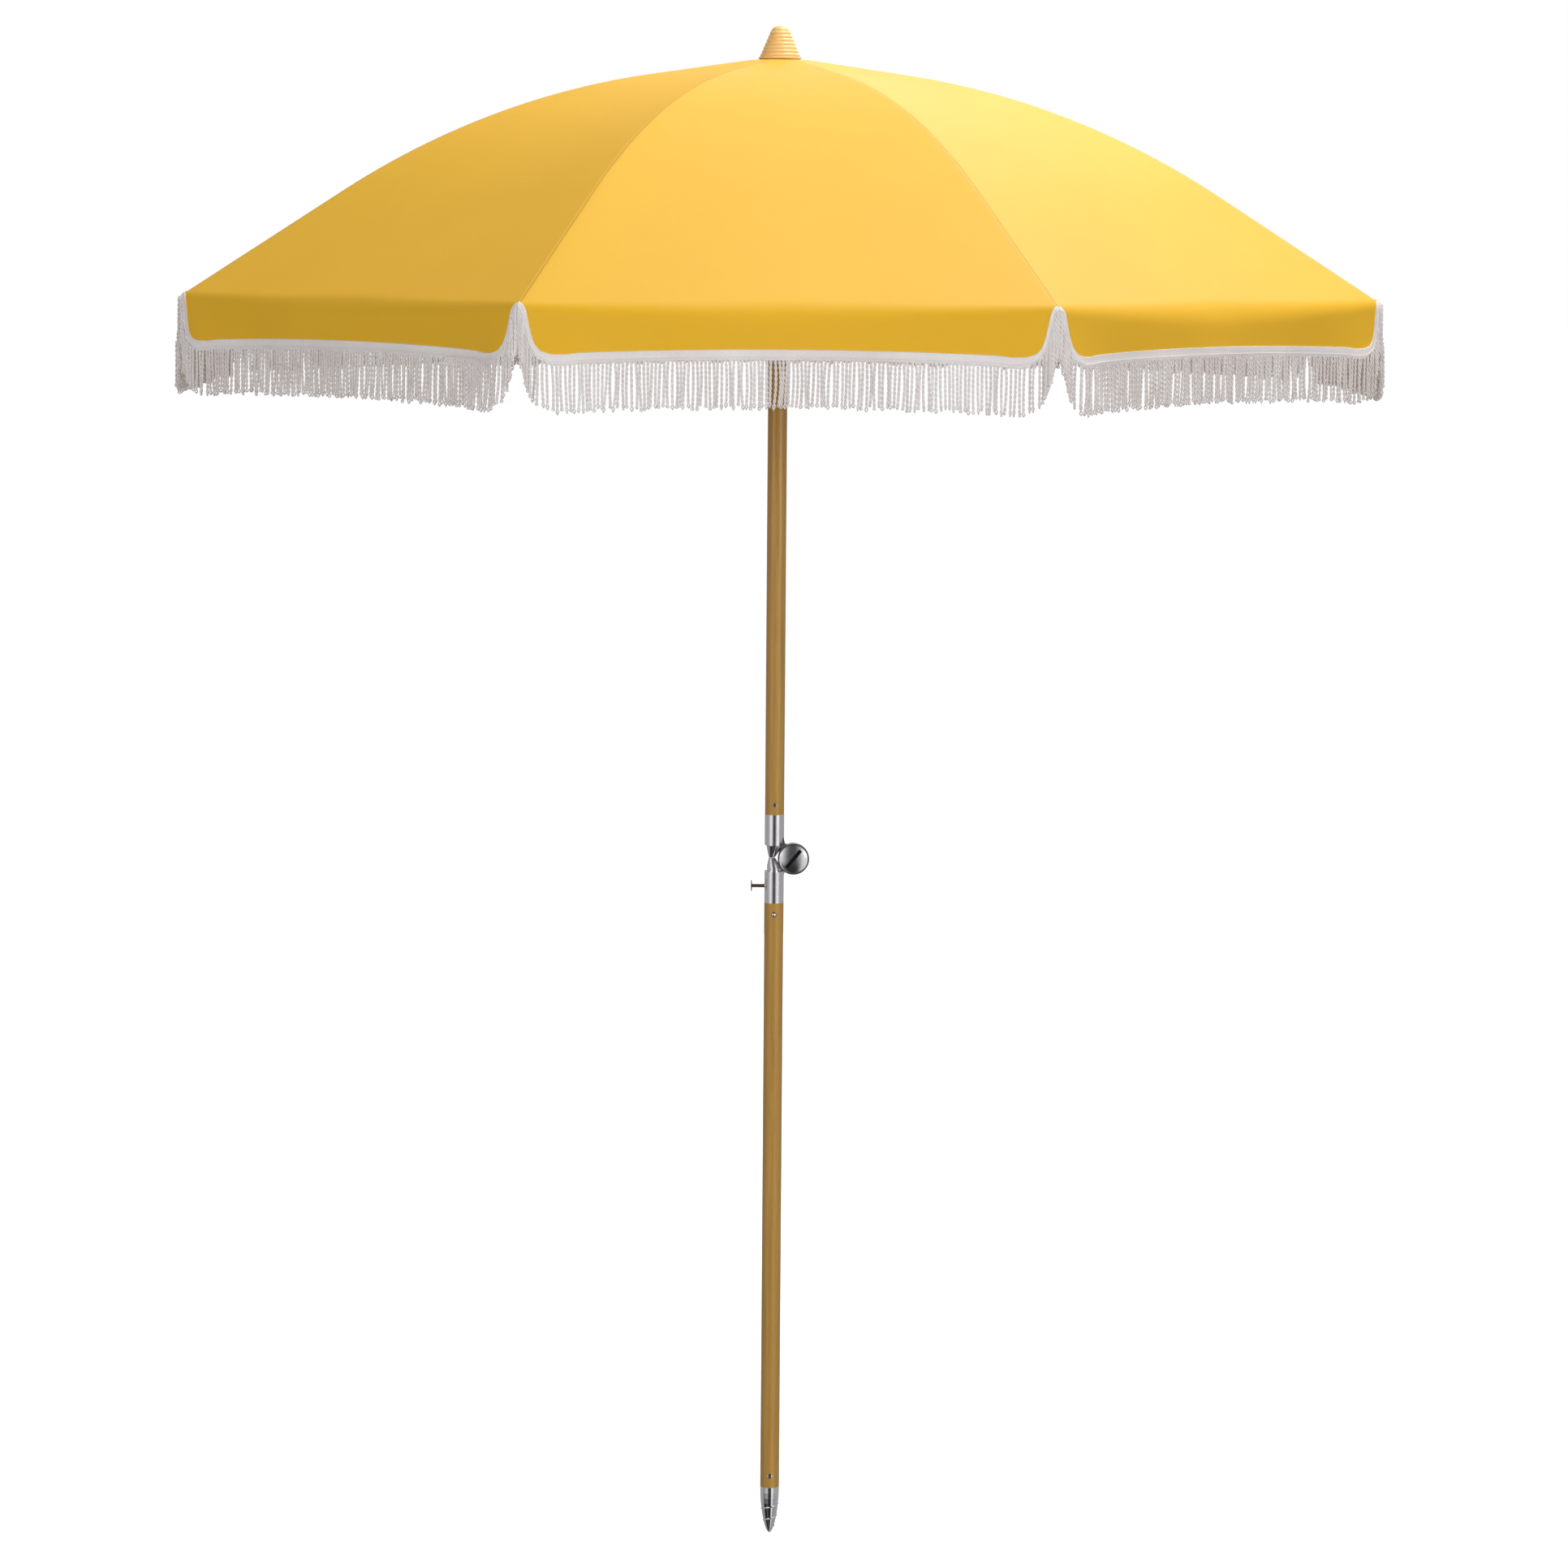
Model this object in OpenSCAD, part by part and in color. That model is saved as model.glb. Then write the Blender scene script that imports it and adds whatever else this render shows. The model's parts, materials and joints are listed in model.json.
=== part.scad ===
// Beach umbrella with eight ribs, a tilting two-part pole and a fringed canopy.
// Millimetres. Z runs up the pole from the point of the ground spike.

/* [Canopy] */
// Distance from the pole axis to the corner of the canopy at a rib
corner_radius = 802; // [780:1:820]
// Height of the canopy corners above the spike point
corner_z = 1661; // [1655:1:1665]
// Height at which the inner straight of the canopy outline would meet the axis
crown_z = 1971; // [1969:1:1973]
// Slope of the canopy near the crown, in degrees
inner_slope = 8.5; // [8:0.1:9]
// Slope of the canopy near the rim, in degrees
outer_slope = 32; // [31.5:0.1:32.5]
// Radius of the bend between the two slopes
bend_radius = 1080; // [1060:1:1100]
// Thickness of the cloth
cloth_t = 1.2; // [1:0.1:1.5]
// Length of the valance below the rim
valance_drop = 47; // [40:1:50]
// Length of the fringe below the valance
fringe_drop = 70; // [60:1:80]
// Half width of the gap in the valance at each rib
notch_half = 25; // [20:1:30]

/* [Pole] */
// Outer diameter of both pole tubes
pole_d = 25.4; // [25:0.1:26]
// Wall of the pole tubes
pole_wall = 1; // [0.8:0.1:1.2]
// Height of the lower end of the lower pole
lower_pole_z = 64.5; // [60:0.5:70]
// Height of the upper end of the lower pole
lower_top_z = 857; // [855:1:860]
// Height of the lower end of the upper pole
upper_pole_z = 975; // [973:1:977]
// Height of the upper end of the upper pole
upper_top_z = 1946; // [1944:1:1947]

/* [Tilt hinge] */
// Height of the tilt pivot
pivot_z = 917; // [916:1:918]
// Distance of the tilt pivot from the pole axis
pivot_x = 25.2; // [25:0.1:26]
// Radius of the toothed hinge discs
disc_r = 19; // [18:0.1:19]
// Diameter of the tilt knob
knob_d = 41.5; // [40:0.5:43]
// Height of the pull pin
pin_z = 879; // [877:1:881]
// Height of the snap button
button_z = 842; // [840:1:844]

/* [Frame] */
// Distance of the rib pivots from the pole axis
rib_pivot_r = 24; // [24:0.5:24.5]
// Height of the rib pivots
rib_pivot_z = 1957; // [1956:0.5:1957]
// Slope of the ribs near the crown, in degrees
rib_inner_slope = 6.3; // [6:0.1:6.5]
// Diameter of the rib and strut rods
rod_d = 4; // [3.6:0.1:4.2]
// Distance of the strut pivots on the ribs from the pole axis
strut_joint_r = 400; // [380:5:420]
// Distance of the strut pivots on the runner from the pole axis
runner_pivot_r = 27; // [27:0.5:27.5]
// Height of the strut pivots on the runner with the canopy open
runner_pivot_z = 1650; // [1645:1:1655]

/* [Finial and spike] */
// Height of the finial above its seat
finial_h = 43.8; // [42:0.1:45]
// Diameter of the finial at its base
finial_d = 56; // [54:1:58]
// Height of the finial seat on the cloth
finial_z = 1966.2; // [1966:0.1:1967]
// Lead of the screw ridge on the spike
spike_lead = 16.2; // [15:0.1:18]

/* [Hidden] */

$fn = 48;
eps = 0.01;
rib_count = 8;
half_gore = 180 / rib_count;
pole_r = pole_d / 2;
bore_r = pole_r - pole_wall;
play = 0.1;
wood = "peru";
steel = "silver";
cloth = "goldenrod";

// Rivets, the button hole and the sockets of the pole
spike_rivet_z = 81;
spike_rivet_r = 3.3;
upper_rivet_z = 988.5;
upper_rivet_r = 2.5;
rivet_l = 7;
rivet_play = 0.05;
button_r = 3.45;
button_hole_r = button_r + 0.15;
socket_l = 30;
socket_r = bore_r - 0.05;
through = 30;

// Hinge
ferrule_r = pole_r + 0.25;
disc_gap = 0.4;
disc_t = 7;
tooth_h = 0.3;
tooth_count = 24;
tooth_r = 11;
tooth_l = 6.5;
tooth_w = 1.6;
shaft_r = 4;
spring_r = 6.5;
spring_pocket = 2.2;
spring_pocket_r = 7.9;
nut_r = 7.5;
nut_sink = 3;
web_rise = 17;
upper_ferrule_z = 934;
lower_ferrule_z = 899;
beak_x = -3.5;
beak_r = 3.8;
beak_gap = 0.5;
lower_beak_r = 9.6;
spigot_l = 42;

// Pull pin
pin_r = 2.5;
pin_out = 16.6;
pin_head_r = 7.5;
pin_head_t = 1.5;
pin_tail = 12;
pin_collar_x = 1;
pin_collar_r = 4.6;
core_r = 9.6;
coupling_r = 9.5;
coupling_bore_r = 8.2;
coupling_l = 36;

// Frame
wire_r = 1.3;
eye_r = 4;
eye_t = 3;
slot_w = 4.8;
hub_r = 30;
hub_bottom_z = 1950;
hub_top_z = 1963.8;
hub_boss_z = 1912;
hub_boss_r = 17;
hub_floor_z = 1930;
flange_r = 32;
flange_z = 1643;
flange_h = 12;
runner_r = 18;
runner_l = 62;
runner_bottom_z = 1612;
catch_w = 3.6;

// A curved outline: a straight, a bend and a straight, falling by dz over a run of dx.
function outer_run(dx, dz, a0, a1, r) =
    (dz - tan(a0) * (dx - r * (sin(a1) - sin(a0))) - r * (cos(a0) - cos(a1)))
    / (tan(a1) - tan(a0));
function inner_run(dx, dz, a0, a1, r) =
    dx - r * (sin(a1) - sin(a0)) - outer_run(dx, dz, a0, a1, r);
function bend_angle(x, a0, a1, r, run) = asin(sin(a0) + (x - run) / r);
function drop(x, dx, dz, a0, a1, r) =
    let (run = inner_run(dx, dz, a0, a1, r), bend = r * (sin(a1) - sin(a0)))
    x <= run ? x * tan(a0)
    : x <= run + bend ? run * tan(a0) + r * (cos(a0) - cos(bend_angle(x, a0, a1, r, run)))
    : run * tan(a0) + r * (cos(a0) - cos(a1)) + (x - run - bend) * tan(a1);

// Outer face of the cloth along a rib; flat where the hub and the finial clamp it.
flat_r = 40;
function cloth_z(x) = crown_z - drop(max(x, flat_r), corner_radius, crown_z - corner_z,
    inner_slope, outer_slope, bend_radius);

// Centre line of a rib, measured from its pivot.
rib_bend = bend_radius - rod_d / 2 - cloth_t;
rib_run = corner_radius - 4 - rib_pivot_r;
rib_fall = rib_pivot_z - cloth_z(corner_radius - 4) + (rod_d / 2 + cloth_t + 0.4) / cos(outer_slope);
function rib_x(x) = x - rib_pivot_r;
function rib_z(x) = rib_pivot_z
    - drop(rib_x(x), rib_run, rib_fall, rib_inner_slope, outer_slope, rib_bend);
rib_straight = inner_run(rib_run, rib_fall, rib_inner_slope, outer_slope, rib_bend);
rib_end = outer_run(rib_run, rib_fall, rib_inner_slope, outer_slope, rib_bend);

// Strut pivot on a rib: below the rod, square to it.
joint_angle = bend_angle(rib_x(strut_joint_r), rib_inner_slope, outer_slope, rib_bend,
    rib_straight);
joint_drop = 6;
joint_x = strut_joint_r - joint_drop * sin(joint_angle);
joint_z = rib_z(strut_joint_r) - joint_drop * cos(joint_angle);
strut_l = norm([joint_x - runner_pivot_r, joint_z - runner_pivot_z]);
strut_rise = atan2(joint_z - runner_pivot_z, joint_x - runner_pivot_r);

// A tube swept along points; every ring stands square to the path.
function unit(v) = v / norm(v);
function ring(p, t, r, n) =
    let (side = unit(cross(t, abs(t.z) < 0.9 ? [0, 0, 1] : [1, 0, 0])), up = cross(side, t))
    [for (i = [0:n - 1]) p + r * (cos(360 * i / n) * side + sin(360 * i / n) * up)];
module sweep(path, r, n) {
    last = len(path) - 1;
    points = [for (k = [0:last])
        each ring(path[k], unit(path[min(k + 1, last)] - path[max(k - 1, 0)]), r, n)];
    sides = [for (k = [0:last - 1], i = [0:n - 1])
        let (j = (i + 1) % n) [k * n + i, k * n + j, (k + 1) * n + j, (k + 1) * n + i]];
    polyhedron(points, concat(sides, [[for (i = [n - 1:-1:0]) i]],
        [[for (i = [0:n - 1]) last * n + i]]), 4);
}
module coil(r, wire, length, turns, steps = 12, sides = 6) {
    sweep([for (i = [0:turns * steps])
        [r * cos(360 * i / steps), r * sin(360 * i / steps), length * i / (turns * steps)]],
        wire, sides);
}

// Turns a shape drawn in the X-Z plane towards rib number i.
module at_rib(i) { rotate([0, 0, half_gore + (i - 1) * 360 / rib_count]) children(); }
// Lays a flat outline in the X-Z plane, t thick and centred on it.
module plate(t) { rotate([90, 0, 0]) linear_extrude(t, center = true) children(); }
module tube(r, bore, h) {
    difference() {
        cylinder(r = r, h = h);
        translate([0, 0, -eps]) cylinder(r = bore, h = h + 2 * eps);
    }
}

// Spike outline: a round nose that swells to the pole diameter.
nose_power = 0.5;
function spike_r(z) = pole_r * pow(sin(90 * z / lower_pole_z), nose_power);
module ground_spike() {
    steps = 16;
    ridge_steps = 24;
    ridge_turns = 2.6;
    ridge_z = 9;
    ridge_r = 1.1;
    color(steel) {
        difference() {
            rotate_extrude() polygon(concat([[0, 0]],
                [for (i = [1:steps]) let (z = lower_pole_z * pow(i / steps, 2)) [spike_r(z), z]],
                [[socket_r, lower_pole_z], [socket_r, lower_pole_z + socket_l],
                [0, lower_pole_z + socket_l]]));
            rivet_hole(spike_rivet_z, spike_rivet_r);
        }
        sweep([for (i = [0:ridge_turns * ridge_steps])
            let (a = 360 * i / ridge_steps, z = ridge_z + spike_lead * i / ridge_steps,
                r = min(spike_r(z), pole_r - ridge_r - play))
            [r * cos(a), r * sin(a), z]], ridge_r, 6);
    }
}
// Its head follows the pole's curve, so a sleeve slides over it.
module rivet(z, r) {
    color(steel) intersection() {
        translate([0, -pole_r, z]) rotate([-90, 0, 0]) cylinder(r = r, h = rivet_l);
        translate([0, 0, z - 2 * r]) cylinder(r = pole_r - rivet_play, h = 4 * r);
    }
}
// Hole a little wider and deeper than the rivet, open towards -Y.
module rivet_hole(z, r) {
    translate([0, rivet_l - pole_r + 2 * rivet_play, z]) rotate([90, 0, 0])
        cylinder(r = r + rivet_play, h = through);
}
module spike_rivet() { rivet(spike_rivet_z, spike_rivet_r); }

module button_hole() {
    translate([0, 0, button_z]) rotate([90, 0, 0]) cylinder(r = button_hole_r, h = through);
}
// The top end is swaged out a little where the coupling's spigot goes in.
module lower_pole() {
    color(wood) translate([0, 0, lower_pole_z]) difference() {
        union() {
            tube(pole_r, bore_r, lower_top_z - lower_pole_z);
            translate([0, 0, lower_top_z - lower_pole_z - spigot_l]) tube(ferrule_r, bore_r, spigot_l);
        }
        translate([0, 0, -lower_pole_z]) {
            rivet_hole(spike_rivet_z, spike_rivet_r);
            button_hole();
        }
    }
}
module coupling_tube() {
    bottom = lower_top_z - spigot_l;
    color(steel) difference() {
        union() {
            translate([0, 0, bottom]) cylinder(r = socket_r, h = spigot_l);
            translate([0, 0, lower_top_z - eps]) cylinder(r = coupling_r, h = coupling_l);
        }
        translate([0, 0, bottom - eps]) cylinder(r = coupling_bore_r, h = 2 * spigot_l);
        button_hole();
        translate([0, 0, pin_z]) rotate([0, 90, 0]) cylinder(r = pin_r + 2 * play, h = through);
        translate([0, 0, pin_z]) rotate([0, -90, 0]) cylinder(r = pin_collar_r + 0.6, h = through);
    }
}
// Button on a bent leaf; the leaf bears on the far wall of the tube.
button_top = pole_r + 2;
module snap_button() {
    leaf_w = 5;
    leaf_t = 0.8;
    leaf_y = -6.6;
    leaf_z = button_z - 14.6;
    color(steel) {
        translate([0, -button_top + button_r, button_z]) {
            sphere(r = button_r);
            rotate([-90, 0, 0]) cylinder(r = button_r, h = button_top - button_r + leaf_y + eps);
        }
        translate([-leaf_w / 2, leaf_y, leaf_z]) {
            cube([leaf_w, leaf_t, 22.6]);
            cube([leaf_w, 9.2, leaf_t]);
        }
    }
}

// One half of the tilt hinge without its stem; mirrored for the other half.
module hinge_disc() {
    rotate([90, 0, 0]) difference() {
        union() {
            translate([0, 0, disc_gap]) cylinder(r = disc_r, h = disc_t);
            for (i = [0:tooth_count - 1]) rotate([0, 0, i * 360 / tooth_count])
                translate([tooth_r, -tooth_w / 2, disc_gap - tooth_h])
                    cube([tooth_l, tooth_w, tooth_h + 1]);
        }
        translate([0, 0, -1]) cylinder(r = shaft_r + play, h = 20);
        translate([0, 0, -1]) cylinder(r = spring_pocket_r, h = spring_pocket / 2 + 1);
    }
}
// Tapered end of a stem, leaning away from the pivot, cut level at its length and to radius r.
module beak(length, r) {
    lean = atan(-beak_x / length);
    root = 6;
    intersection() {
        translate([0, 0, -1]) cylinder(r = r, h = length + 1);
        rotate([0, -lean, 0]) translate([0, 0, -root])
            cylinder(r1 = pole_r + 1.6, r2 = beak_r, h = length / cos(lean) + root + 1);
    }
}
module web(rise) {
    plate(disc_t) polygon([[6, rise - 2], [pole_r - 0.6, rise + 10], [pole_r + 1.5, rise + 2],
        [pivot_x - 3, disc_r - 0.8], [pivot_x - 12, 13]]);
}
module lower_hinge() {
    stem_top = lower_ferrule_z - lower_top_z;
    web_y = disc_gap + disc_t / 2;
    color(steel) difference() {
        union() {
            translate([0, 0, lower_top_z]) cylinder(r = ferrule_r, h = stem_top);
            translate([0, 0, lower_ferrule_z])
                beak(pivot_z - lower_ferrule_z - beak_gap, lower_beak_r);
            translate([pivot_x, 0, pivot_z]) mirror([0, 1, 0]) hinge_disc();
            translate([0, web_y, pivot_z]) mirror([0, 0, 1]) web(web_rise);
        }
        translate([0, 0, lower_top_z - 1]) cylinder(r = core_r, h = coupling_l + 2);
        translate([0, 0, pin_z]) rotate([0, -90, 0]) cylinder(r = pin_r + play, h = through);
        translate([0, 0, pin_z]) rotate([0, 90, 0]) cylinder(r = pin_r + play, h = pin_tail);
        translate([pivot_x, disc_gap + disc_t - nut_sink, pivot_z]) rotate([-90, 0, 0])
            cylinder(r = nut_r + play, h = 10, $fn = 6);
    }
}
module upper_hinge() {
    color(steel) difference() {
        union() {
            translate([0, 0, upper_ferrule_z])
                cylinder(r = ferrule_r, h = upper_pole_z - upper_ferrule_z);
            translate([0, 0, upper_pole_z - eps]) cylinder(r = socket_r, h = socket_l);
            translate([0, 0, upper_ferrule_z]) mirror([0, 0, 1])
                beak(upper_ferrule_z - pivot_z - beak_gap, pole_r - eps);
            translate([pivot_x, 0, pivot_z]) hinge_disc();
            translate([0, -disc_gap - disc_t / 2, pivot_z]) web(web_rise);
        }
        translate([0, 0, upper_pole_z - 20]) cylinder(r = 8.5, h = 2 * socket_l);
        rivet_hole(upper_rivet_z, upper_rivet_r);
    }
}
module pull_pin() {
    color(steel) translate([0, 0, pin_z]) rotate([0, 90, 0]) {
        translate([0, 0, -pole_r - pin_out])
            cylinder(r = pin_r, h = pole_r + pin_out + pin_tail - 0.6);
        translate([0, 0, -pole_r - pin_out - pin_head_t]) cylinder(r = pin_head_r, h = pin_head_t);
        translate([0, 0, pin_collar_x]) cylinder(r = pin_collar_r, h = 1.5);
    }
}
module pin_spring() {
    reach = core_r - 0.6;
    color(steel) translate([-reach, 0, pin_z]) rotate([0, 90, 0])
        coil(3.5, 0.4, reach + pin_collar_x - 0.5, 4);
}

// Domed coin-slot knob with a raised rim, on its own screw.
module tilt_knob() {
    face_y = disc_gap + disc_t + 0.3;
    knob_r = knob_d / 2;
    knob_t = 8;
    dome_h = 3;
    rim_w = 1.5;
    rim_h = 1.2;
    groove_w = 0.5;
    slot_r = 2.4;
    slot_half = 12.6;
    slot_depth = 4;
    dome_r = (pow(knob_r - rim_w - groove_w, 2) + dome_h * dome_h) / (2 * dome_h);
    floor_y = face_y + knob_t - rim_h;
    color(steel) translate([pivot_x, 0, pivot_z]) rotate([90, 0, 0]) {
        difference() {
            union() {
                translate([0, 0, face_y]) cylinder(r = knob_r - 1, h = 1.2);
                difference() {
                    translate([0, 0, face_y + 1]) cylinder(r = knob_r, h = knob_t - 1);
                    translate([0, 0, floor_y]) cylinder(r = knob_r - rim_w, h = knob_t);
                }
                intersection() {
                    translate([0, 0, floor_y + dome_h - dome_r]) sphere(r = dome_r, $fn = 96);
                    translate([0, 0, face_y + 2]) cylinder(r = knob_r - rim_w + 0.1, h = knob_t);
                }
            }
            rotate([0, 0, 51]) translate([0, 0, face_y + knob_t - slot_depth]) {
                translate([-slot_half, -slot_r, 0]) cube([2 * slot_half, 2 * slot_r, through]);
                for (x = [-slot_half, slot_half]) translate([x, 0, 0])
                    cylinder(r = slot_r, h = through);
            }
        }
        translate([0, 0, -disc_t - 2]) cylinder(r = shaft_r, h = disc_t + 3 + face_y);
    }
}
module knob_nut() {
    color(steel) translate([pivot_x, disc_gap + disc_t - nut_sink, pivot_z]) rotate([-90, 0, 0])
        difference() {
            cylinder(r = nut_r, h = 2 * nut_sink, $fn = 6);
            translate([0, 0, -1]) cylinder(r = shaft_r + 0.05, h = 10);
        }
}
module hinge_spring() {
    wire = 0.3;
    length = spring_pocket - 2 * wire - 0.4;
    color(steel) translate([pivot_x, length / 2, pivot_z]) rotate([90, 0, 0])
        coil(spring_r, wire, length, 1.75, 16, 6);
}
module upper_rivet() { rivet(upper_rivet_z, upper_rivet_r); }

catch_z = runner_bottom_z - 1;
module upper_pole() {
    color(wood) difference() {
        translate([0, 0, upper_pole_z]) tube(pole_r, bore_r, upper_top_z - upper_pole_z);
        rivet_hole(upper_rivet_z, upper_rivet_r);
        translate([5, -catch_w / 2 - 0.2, catch_z - 28]) cube([10, catch_w + 0.4, 28.4]);
    }
}
// Leaf catch in a slot of the pole; its square shoulder carries the runner.
module runner_catch() {
    color(steel) translate([0, 0, catch_z]) plate(catch_w)
        polygon([[-bore_r + 6, -60], [-bore_r + 7, -60], [4, -24], [pole_r - 0.2, -24],
            [pole_r + 4, 0], [5, 0], [3, -18]]);
}

// A notched ring: one slot for each rod, and a groove for the pivot wire.
module notched_ring(r, pivot, h, wire_up, slot_floor) {
    difference() {
        cylinder(r = r, h = h);
        translate([0, 0, wire_up - wire_r - 0.04]) rotate_extrude()
            translate([pivot - wire_r - 0.04, 0]) square([2 * wire_r + 0.08, h]);
        for (i = [1:rib_count]) at_rib(i)
            translate([pivot - eye_r - 0.6, -slot_w / 2, slot_floor]) cube([40, slot_w, h]);
    }
}
module pivot_wire(r, z) {
    color(steel) translate([0, 0, z]) rotate_extrude() translate([r, 0]) circle(r = wire_r);
}
module runner() {
    color("ivory") difference() {
        union() {
            translate([0, 0, runner_bottom_z]) cylinder(r = runner_r, h = runner_l);
            translate([0, 0, flange_z]) notched_ring(flange_r, runner_pivot_r, flange_h,
                runner_pivot_z - flange_z, 2.2);
            translate([0, 0, runner_bottom_z]) cylinder(r = runner_r + 3, h = 5);
        }
        translate([0, 0, runner_bottom_z - 1]) cylinder(r = pole_r + 0.3, h = runner_l + 2);
    }
}
module runner_wire() { pivot_wire(runner_pivot_r, runner_pivot_z); }
module crown_hub() {
    color("ivory") difference() {
        union() {
            translate([0, 0, hub_top_z]) mirror([0, 0, 1])
                notched_ring(hub_r, rib_pivot_r, hub_top_z - hub_bottom_z,
                    hub_top_z - rib_pivot_z, 2.4);
            translate([0, 0, hub_boss_z]) cylinder(r = hub_boss_r, h = hub_bottom_z - hub_boss_z + 2);
        }
        translate([0, 0, hub_boss_z - 1])
            cylinder(r = pole_r + 0.03, h = upper_top_z - hub_boss_z + 1);
        translate([0, 0, hub_floor_z]) cylinder(r = shaft_r + rivet_play, h = 60);
    }
}
module crown_wire() { pivot_wire(rib_pivot_r, rib_pivot_z); }

// Ridged cone with a rounded top and a stud that screws into the hub.
module finial() {
    ridges = 7;
    ridge_steps = 8;
    ridge_depth = 1;
    lip = 3.5;
    top_r = 12;
    pitch = (finial_h - lip - 7) / ridges;
    slope = (finial_d / 2 - 2 - top_r) / (ridges * pitch);
    color("burlywood") translate([0, 0, finial_z]) {
        rotate_extrude() {
            polygon(concat([[0, 0], [finial_d / 2 - 1, 0], [finial_d / 2, 1], [finial_d / 2, 2.5]],
                [for (i = [0:ridges * ridge_steps])
                    let (z = i * pitch / ridge_steps)
                    [finial_d / 2 - 2 - slope * z
                        + ridge_depth * (abs(sin(180 * i / ridge_steps)) - 0.5), lip + z]],
                [[0, lip + ridges * pitch]]));
            translate([0, finial_h - 7.2]) intersection() {
                scale([1, 0.6]) circle(r = top_r - 0.6);
                square(40);
            }
        }
        translate([0, 0, -20]) cylinder(r = shaft_r, h = 21);
        translate([0, 0, hub_top_z - finial_z]) cylinder(r = 11, h = finial_z - hub_top_z + 1);
    }
}

// Rib: round eye, bent rod, strut bracket and tip cap.
module rib(i) {
    bend = outer_slope - rib_inner_slope;
    rod_r = rod_d / 2;
    bracket = 9;
    cap_wall = 1.4;
    color(steel) at_rib(i) {
        translate([rib_pivot_r, 0, rib_pivot_z]) {
            difference() {
                union() {
                    rotate([90, 0, 0]) cylinder(r = eye_r, h = eye_t, center = true);
                    rotate([0, 90 + rib_inner_slope, 0]) cylinder(r = rod_r, h = rib_straight
                        / cos(rib_inner_slope));
                }
                rotate([90, 0, 0]) cylinder(r = wire_r + 0.2, h = 10, center = true);
            }
            translate([rib_straight, 0, -rib_straight * tan(rib_inner_slope)])
                rotate([0, rib_inner_slope, 0]) translate([0, 0, -rib_bend])
                rotate([90, 0, 0]) rotate([0, 0, 90 - bend])
                rotate_extrude(angle = bend, $fn = 180) translate([rib_bend, 0]) circle(r = rod_r);
            translate([rib_run, 0, -rib_fall]) rotate([0, outer_slope - 90, 0])
                cylinder(r = rod_r, h = rib_end / cos(outer_slope));
        }
        translate([strut_joint_r, 0, rib_z(strut_joint_r)]) rotate([0, joint_angle, 0]) {
            for (side = [-1, 1]) translate([0, side * 3, -joint_drop / 2 - 0.6])
                cube([bracket, 1.4, joint_drop + 5], center = true);
            rotate([0, 90, 0]) cylinder(r = rod_r + 0.6, h = bracket, center = true);
            translate([0, 0, -joint_drop]) rotate([90, 0, 0])
                cylinder(r = wire_r, h = 8.4, center = true);
        }
        translate([rib_pivot_r + rib_run, 0, rib_pivot_z - rib_fall])
            rotate([0, outer_slope - 90, 0]) translate([0.45 - cap_wall, 0, -2])
            cylinder(r = rod_r + cap_wall, h = 16);
    }
}
// Strut: a rod between two flat eyes.
module strut(i) {
    color(steel) at_rib(i) translate([runner_pivot_r, 0, runner_pivot_z])
        rotate([0, -strut_rise, 0]) difference() {
            union() {
                for (x = [0, strut_l]) translate([x, 0, 0]) rotate([90, 0, 0])
                    cylinder(r = x == 0 ? eye_r : 3, h = eye_t, center = true);
                rotate([0, 90, 0]) cylinder(r = rod_d / 2, h = strut_l);
            }
            for (x = [0, strut_l]) translate([x, 0, 0]) rotate([90, 0, 0])
                cylinder(r = wire_r + (x == 0 ? 0.2 : 0.1), h = 10, center = true);
        }
}

// Closed sheet over a grid of points: rows of three points, thickened by a shift.
module sheet(rows, shift) {
    n = len(rows);
    points = concat([for (row = rows) each row], [for (row = rows) each [for (p = row) p + shift]]);
    m = len(rows[0]);
    base = n * m;
    polyhedron(points, concat(
        [for (k = [0:n - 2], j = [0:m - 2])
            [k * m + j, k * m + j + 1, (k + 1) * m + j + 1, (k + 1) * m + j]],
        [for (k = [0:n - 2], j = [0:m - 2])
            [base + (k + 1) * m + j, base + (k + 1) * m + j + 1, base + k * m + j + 1,
            base + k * m + j]],
        [for (k = [0:n - 2]) [(k + 1) * m, base + (k + 1) * m, base + k * m, k * m]],
        [for (k = [0:n - 2]) [k * m + m - 1, base + k * m + m - 1, base + (k + 1) * m + m - 1,
            (k + 1) * m + m - 1]],
        [for (j = [0:m - 2]) [j, base + j, base + j + 1, j + 1]],
        [for (j = [0:m - 2]) [(n - 1) * m + j + 1, base + (n - 1) * m + j + 1,
            base + (n - 1) * m + j, (n - 1) * m + j]]), 6);
}
// Point of the gore at rib radius x; t runs from 0 at the rib to 1 at mid-gore.
seam_gap = 0.2;
function gore(x, t, z) = let (reach = x * cos(half_gore) * t)
    [x - reach * sin(half_gore) * tan(half_gore),
    reach * sin(half_gore) - seam_gap * t, z];
function flip(p) = [p.x, -p.y, p.z];
crown_r = 13;
module canopy(i) {
    stations = 14;
    color(cloth) at_rib(i) sheet([for (k = [0:stations])
        let (x = k == 0 ? crown_r : flat_r + (corner_radius - flat_r) * (k - 1) / (stations - 1),
            z = cloth_z(x), edge = gore(x, 1, z))
        [edge, [x, 0, z], flip(edge)]], [0, 0, -cloth_t]);
}
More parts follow.
